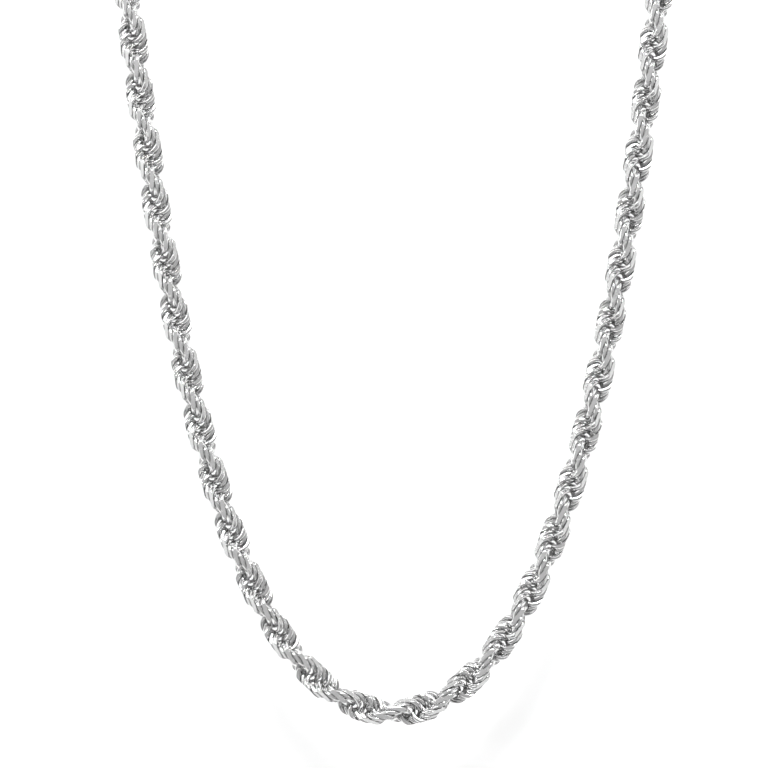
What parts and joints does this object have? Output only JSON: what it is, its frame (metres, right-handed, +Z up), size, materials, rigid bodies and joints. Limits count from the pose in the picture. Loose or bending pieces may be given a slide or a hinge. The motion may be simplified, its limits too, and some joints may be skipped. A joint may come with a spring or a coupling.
{
  "type": "rope chain necklace",
  "caption": "Left-hand twisted rope chain of interlocked open C links with soldered end caps, jump rings, a lobster clasp and a drilled end tag, lying unclasped.",
  "frame": {"origin": "middle of the outline, on the surface that the necklace lies on", "axes": "+Z up from the surface, +Y from the front of the necklace towards the clasp, +X to the tag side's right"},
  "size_m": [0.1091, 0.2296, 0.005],
  "materials": {
    "polished_links": "polished silver, diamond-cut on the outside of the twist",
    "polished_findings": "polished silver"
  },
  "bodies": {
    "rope_01": {"rope_01": "polished_links", "end_cap_clasp_side": "polished_findings"},
    "rope_02": {"rope_02": "polished_links"},
    "rope_03": {"rope_03": "polished_links"},
    "rope_04": {"rope_04": "polished_links"},
    "rope_05": {"rope_05": "polished_links"},
    "rope_06": {"rope_06": "polished_links"},
    "rope_07": {"rope_07": "polished_links"},
    "rope_08": {"rope_08": "polished_links"},
    "rope_09": {"rope_09": "polished_links"},
    "rope_10": {"rope_10": "polished_links"},
    "rope_11": {"rope_11": "polished_links"},
    "rope_12": {"rope_12": "polished_links"},
    "rope_13": {"rope_13": "polished_links"},
    "rope_14": {"rope_14": "polished_links"},
    "rope_15": {"rope_15": "polished_links"},
    "rope_16": {"rope_16": "polished_links"},
    "rope_17": {"rope_17": "polished_links"},
    "rope_18": {"rope_18": "polished_links"},
    "rope_19": {"rope_19": "polished_links"},
    "rope_20": {"rope_20": "polished_links"},
    "rope_21": {"rope_21": "polished_links"},
    "rope_22": {"rope_22": "polished_links"},
    "rope_23": {"rope_23": "polished_links"},
    "rope_24": {"rope_24": "polished_links"},
    "rope_25": {"rope_25": "polished_links"},
    "rope_26": {"rope_26": "polished_links"},
    "rope_27": {"rope_27": "polished_links"},
    "rope_28": {"rope_28": "polished_links"},
    "rope_29": {"rope_29": "polished_links"},
    "rope_30": {"rope_30": "polished_links"},
    "rope_31": {"rope_31": "polished_links"},
    "rope_32": {"rope_32": "polished_links"},
    "rope_33": {"rope_33": "polished_links"},
    "rope_34": {"rope_34": "polished_links"},
    "rope_35": {"rope_35": "polished_links"},
    "rope_36": {"rope_36": "polished_links"},
    "rope_37": {"rope_37": "polished_links"},
    "rope_38": {"rope_38": "polished_links"},
    "rope_39": {"rope_39": "polished_links"},
    "rope_40": {"rope_40": "polished_links"},
    "rope_41": {"rope_41": "polished_links"},
    "rope_42": {"rope_42": "polished_links"},
    "rope_43": {"rope_43": "polished_links"},
    "rope_44": {"rope_44": "polished_links"},
    "rope_45": {"rope_45": "polished_links"},
    "rope_46": {"rope_46": "polished_links"},
    "rope_47": {"rope_47": "polished_links"},
    "rope_48": {"rope_48": "polished_links", "end_cap_tag_side": "polished_findings"},
    "jump_ring_clasp_side": {"jump_ring_clasp_side": "polished_findings"},
    "jump_ring_tag_side": {"jump_ring_tag_side": "polished_findings"},
    "clasp": {"clasp_body": "polished_findings", "clasp_pin": "polished_findings", "clasp_spring": "polished_findings"},
    "clasp_trigger": {"clasp_trigger": "polished_findings"},
    "end_tag": {"end_tag": "polished_findings"}
  },
  "joints": [
    {"name": "swing_ring_clasp_side", "type": "hinge", "parent": "rope_01", "child": "jump_ring_clasp_side", "pos_m": [-0.02457, 0.10505, 0.0025], "axis": [0, 0, 1], "range_deg": [-40, 40]},
    {"name": "swing_ring_tag_side", "type": "hinge", "parent": "rope_48", "child": "jump_ring_tag_side", "pos_m": [0.02457, 0.10505, 0.0025], "axis": [0, 0, 1], "range_deg": [-40, 40]},
    {"name": "swing_clasp", "type": "hinge", "parent": "jump_ring_clasp_side", "child": "clasp", "pos_m": [-0.02121, 0.10712, 0.0015], "axis": [0, 0, 1], "range_deg": [-35, 35]},
    {"name": "swing_tag", "type": "hinge", "parent": "jump_ring_tag_side", "child": "end_tag", "pos_m": [0.02121, 0.10712, 0.0015], "axis": [0, 0, 1], "range_deg": [-35, 35]},
    {"name": "open_trigger", "type": "hinge", "parent": "clasp", "child": "clasp_trigger", "pos_m": [-0.01818, 0.1101, 0.0015], "axis": [0, 0, -1], "range_deg": [0, 22], "stiffness_Nm_per_rad": 0.002, "springref_deg": -8.59, "deforming": ["clasp_spring"]},
    {"name": "side_24_25", "type": "hinge", "parent": "rope_24", "child": "rope_25", "pos_m": [0, -0.1128, 0.0025], "axis": [0, 0, 1], "range_deg": [-3, 3]},
    {"name": "lift_25_26", "type": "hinge", "parent": "rope_25", "child": "rope_26", "pos_m": [0.00948, -0.11002, 0.0025], "axis": [-0.516, 0.8566, 0], "range_deg": [-5, 5]},
    {"name": "side_26_27", "type": "hinge", "parent": "rope_26", "child": "rope_27", "pos_m": [0.01692, -0.10341, 0.0025], "axis": [0, 0, -1], "range_deg": [-3, 3]},
    {"name": "lift_27_28", "type": "hinge", "parent": "rope_27", "child": "rope_28", "pos_m": [0.02248, -0.09511, 0.0025], "axis": [0.875, -0.4842, 0], "range_deg": [-5, 5]},
    {"name": "side_28_29", "type": "hinge", "parent": "rope_28", "child": "rope_29", "pos_m": [0.02678, -0.08609, 0.0025], "axis": [0, 0, 1], "range_deg": [-3, 3]},
    {"name": "lift_29_30", "type": "hinge", "parent": "rope_29", "child": "rope_30", "pos_m": [0.03025, -0.07672, 0.0025], "axis": [-0.9491, 0.3151, 0], "range_deg": [-5, 5]},
    {"name": "side_30_31", "type": "hinge", "parent": "rope_30", "child": "rope_31", "pos_m": [0.03315, -0.06715, 0.0025], "axis": [0, 0, -1], "range_deg": [-3, 3]},
    {"name": "lift_31_32", "type": "hinge", "parent": "rope_31", "child": "rope_32", "pos_m": [0.03562, -0.05746, 0.0025], "axis": [0.973, -0.2307, 0], "range_deg": [-5, 5]},
    {"name": "side_32_33", "type": "hinge", "parent": "rope_32", "child": "rope_33", "pos_m": [0.03779, -0.0477, 0.0025], "axis": [0, 0, 1], "range_deg": [-3, 3]},
    {"name": "lift_33_34", "type": "hinge", "parent": "rope_33", "child": "rope_34", "pos_m": [0.03971, -0.03788, 0.0025], "axis": [-0.9834, 0.1814, 0], "range_deg": [-5, 5]},
    {"name": "side_34_35", "type": "hinge", "parent": "rope_34", "child": "rope_35", "pos_m": [0.04143, -0.02803, 0.0025], "axis": [0, 0, -1], "range_deg": [-3, 3]},
    {"name": "lift_35_36", "type": "hinge", "parent": "rope_35", "child": "rope_36", "pos_m": [0.04299, -0.01816, 0.0025], "axis": [0.9888, -0.1492, 0], "range_deg": [-5, 5]},
    {"name": "side_36_37", "type": "hinge", "parent": "rope_36", "child": "rope_37", "pos_m": [0.04442, -0.00826, 0.0025], "axis": [0, 0, 1], "range_deg": [-3, 3]},
    {"name": "lift_37_38", "type": "hinge", "parent": "rope_37", "child": "rope_38", "pos_m": [0.04574, 0.00166, 0.0025], "axis": [-0.9919, 0.1267, 0], "range_deg": [-5, 5]},
    {"name": "side_38_39", "type": "hinge", "parent": "rope_38", "child": "rope_39", "pos_m": [0.04696, 0.01158, 0.0025], "axis": [0, 0, -1], "range_deg": [-3, 3]},
    {"name": "lift_39_40", "type": "hinge", "parent": "rope_39", "child": "rope_40", "pos_m": [0.04812, 0.02151, 0.0025], "axis": [0.9933, -0.1156, 0], "range_deg": [-5, 5]},
    {"name": "side_40_41", "type": "hinge", "parent": "rope_40", "child": "rope_41", "pos_m": [0.04927, 0.03145, 0.0025], "axis": [0, 0, 1], "range_deg": [-3, 3]},
    {"name": "lift_41_42", "type": "hinge", "parent": "rope_41", "child": "rope_42", "pos_m": [0.05043, 0.04138, 0.0025], "axis": [-0.9933, 0.1156, 0], "range_deg": [-5, 5]},
    {"name": "side_42_43", "type": "hinge", "parent": "rope_42", "child": "rope_43", "pos_m": [0.05159, 0.05131, 0.0025], "axis": [0, 0, -1], "range_deg": [-3, 3]},
    {"name": "lift_43_44", "type": "hinge", "parent": "rope_43", "child": "rope_44", "pos_m": [0.0522, 0.06128, 0.0025], "axis": [0.9995, 0.0304, 0], "range_deg": [-5, 5]},
    {"name": "side_44_45", "type": "hinge", "parent": "rope_44", "child": "rope_45", "pos_m": [0.05092, 0.07118, 0.0025], "axis": [0, 0, 1], "range_deg": [-3, 3]},
    {"name": "lift_45_46", "type": "hinge", "parent": "rope_45", "child": "rope_46", "pos_m": [0.04771, 0.08064, 0.0025], "axis": [-0.9108, -0.4129, 0], "range_deg": [-5, 5]},
    {"name": "side_46_47", "type": "hinge", "parent": "rope_46", "child": "rope_47", "pos_m": [0.04271, 0.08928, 0.0025], "axis": [0, 0, -1], "range_deg": [-3, 3]},
    {"name": "lift_47_48", "type": "hinge", "parent": "rope_47", "child": "rope_48", "pos_m": [0.03612, 0.09677, 0.0025], "axis": [0.6816, 0.7317, 0], "range_deg": [-5, 5]},
    {"name": "side_23_24", "type": "hinge", "parent": "rope_24", "child": "rope_23", "pos_m": [-0.00948, -0.11002, 0.0025], "axis": [0, 0, 1], "range_deg": [-3, 3]},
    {"name": "lift_22_23", "type": "hinge", "parent": "rope_23", "child": "rope_22", "pos_m": [-0.01692, -0.10341, 0.0025], "axis": [0.7695, 0.6387, 0], "range_deg": [-5, 5]},
    {"name": "side_21_22", "type": "hinge", "parent": "rope_22", "child": "rope_21", "pos_m": [-0.02248, -0.09511, 0.0025], "axis": [0, 0, -1], "range_deg": [-3, 3]},
    {"name": "lift_20_21", "type": "hinge", "parent": "rope_21", "child": "rope_20", "pos_m": [-0.02678, -0.08609, 0.0025], "axis": [-0.9236, -0.3833, 0], "range_deg": [-5, 5]},
    {"name": "side_19_20", "type": "hinge", "parent": "rope_20", "child": "rope_19", "pos_m": [-0.03025, -0.07672, 0.0025], "axis": [0, 0, 1], "range_deg": [-3, 3]},
    {"name": "lift_18_19", "type": "hinge", "parent": "rope_19", "child": "rope_18", "pos_m": [-0.03315, -0.06715, 0.0025], "axis": [0.9638, 0.2666, 0], "range_deg": [-5, 5]},
    {"name": "side_17_18", "type": "hinge", "parent": "rope_18", "child": "rope_17", "pos_m": [-0.03562, -0.05746, 0.0025], "axis": [0, 0, -1], "range_deg": [-3, 3]},
    {"name": "lift_16_17", "type": "hinge", "parent": "rope_17", "child": "rope_16", "pos_m": [-0.03779, -0.0477, 0.0025], "axis": [-0.9791, -0.2032, 0], "range_deg": [-5, 5]},
    {"name": "side_15_16", "type": "hinge", "parent": "rope_16", "child": "rope_15", "pos_m": [-0.03971, -0.03788, 0.0025], "axis": [0, 0, 1], "range_deg": [-3, 3]},
    {"name": "lift_14_15", "type": "hinge", "parent": "rope_15", "child": "rope_14", "pos_m": [-0.04143, -0.02803, 0.0025], "axis": [0.9865, 0.1638, 0], "range_deg": [-5, 5]},
    {"name": "side_13_14", "type": "hinge", "parent": "rope_14", "child": "rope_13", "pos_m": [-0.04299, -0.01816, 0.0025], "axis": [0, 0, -1], "range_deg": [-3, 3]},
    {"name": "lift_12_13", "type": "hinge", "parent": "rope_13", "child": "rope_12", "pos_m": [-0.04442, -0.00826, 0.0025], "axis": [-0.9906, -0.137, 0], "range_deg": [-5, 5]},
    {"name": "side_11_12", "type": "hinge", "parent": "rope_12", "child": "rope_11", "pos_m": [-0.04574, 0.00166, 0.0025], "axis": [0, 0, 1], "range_deg": [-3, 3]},
    {"name": "lift_10_11", "type": "hinge", "parent": "rope_11", "child": "rope_10", "pos_m": [-0.04696, 0.01158, 0.0025], "axis": [0.993, 0.1177, 0], "range_deg": [-5, 5]},
    {"name": "side_09_10", "type": "hinge", "parent": "rope_10", "child": "rope_09", "pos_m": [-0.04812, 0.02151, 0.0025], "axis": [0, 0, -1], "range_deg": [-3, 3]},
    {"name": "lift_08_09", "type": "hinge", "parent": "rope_09", "child": "rope_08", "pos_m": [-0.04927, 0.03145, 0.0025], "axis": [-0.9933, -0.1156, 0], "range_deg": [-5, 5]},
    {"name": "side_07_08", "type": "hinge", "parent": "rope_08", "child": "rope_07", "pos_m": [-0.05043, 0.04138, 0.0025], "axis": [0, 0, 1], "range_deg": [-3, 3]},
    {"name": "lift_06_07", "type": "hinge", "parent": "rope_07", "child": "rope_06", "pos_m": [-0.05159, 0.05131, 0.0025], "axis": [0.9933, 0.1156, 0], "range_deg": [-5, 5]},
    {"name": "side_05_06", "type": "hinge", "parent": "rope_06", "child": "rope_05", "pos_m": [-0.0522, 0.06128, 0.0025], "axis": [0, 0, -1], "range_deg": [-3, 3]},
    {"name": "lift_04_05", "type": "hinge", "parent": "rope_05", "child": "rope_04", "pos_m": [-0.05092, 0.07118, 0.0025], "axis": [-0.9741, 0.226, 0], "range_deg": [-5, 5]},
    {"name": "side_03_04", "type": "hinge", "parent": "rope_04", "child": "rope_03", "pos_m": [-0.04771, 0.08064, 0.0025], "axis": [0, 0, 1], "range_deg": [-3, 3]},
    {"name": "lift_02_03", "type": "hinge", "parent": "rope_03", "child": "rope_02", "pos_m": [-0.04271, 0.08928, 0.0025], "axis": [0.812, -0.5837, 0], "range_deg": [-5, 5]},
    {"name": "side_01_02", "type": "hinge", "parent": "rope_02", "child": "rope_01", "pos_m": [-0.03612, 0.09677, 0.0025], "axis": [0, 0, -1], "range_deg": [-3, 3]}
  ]
}
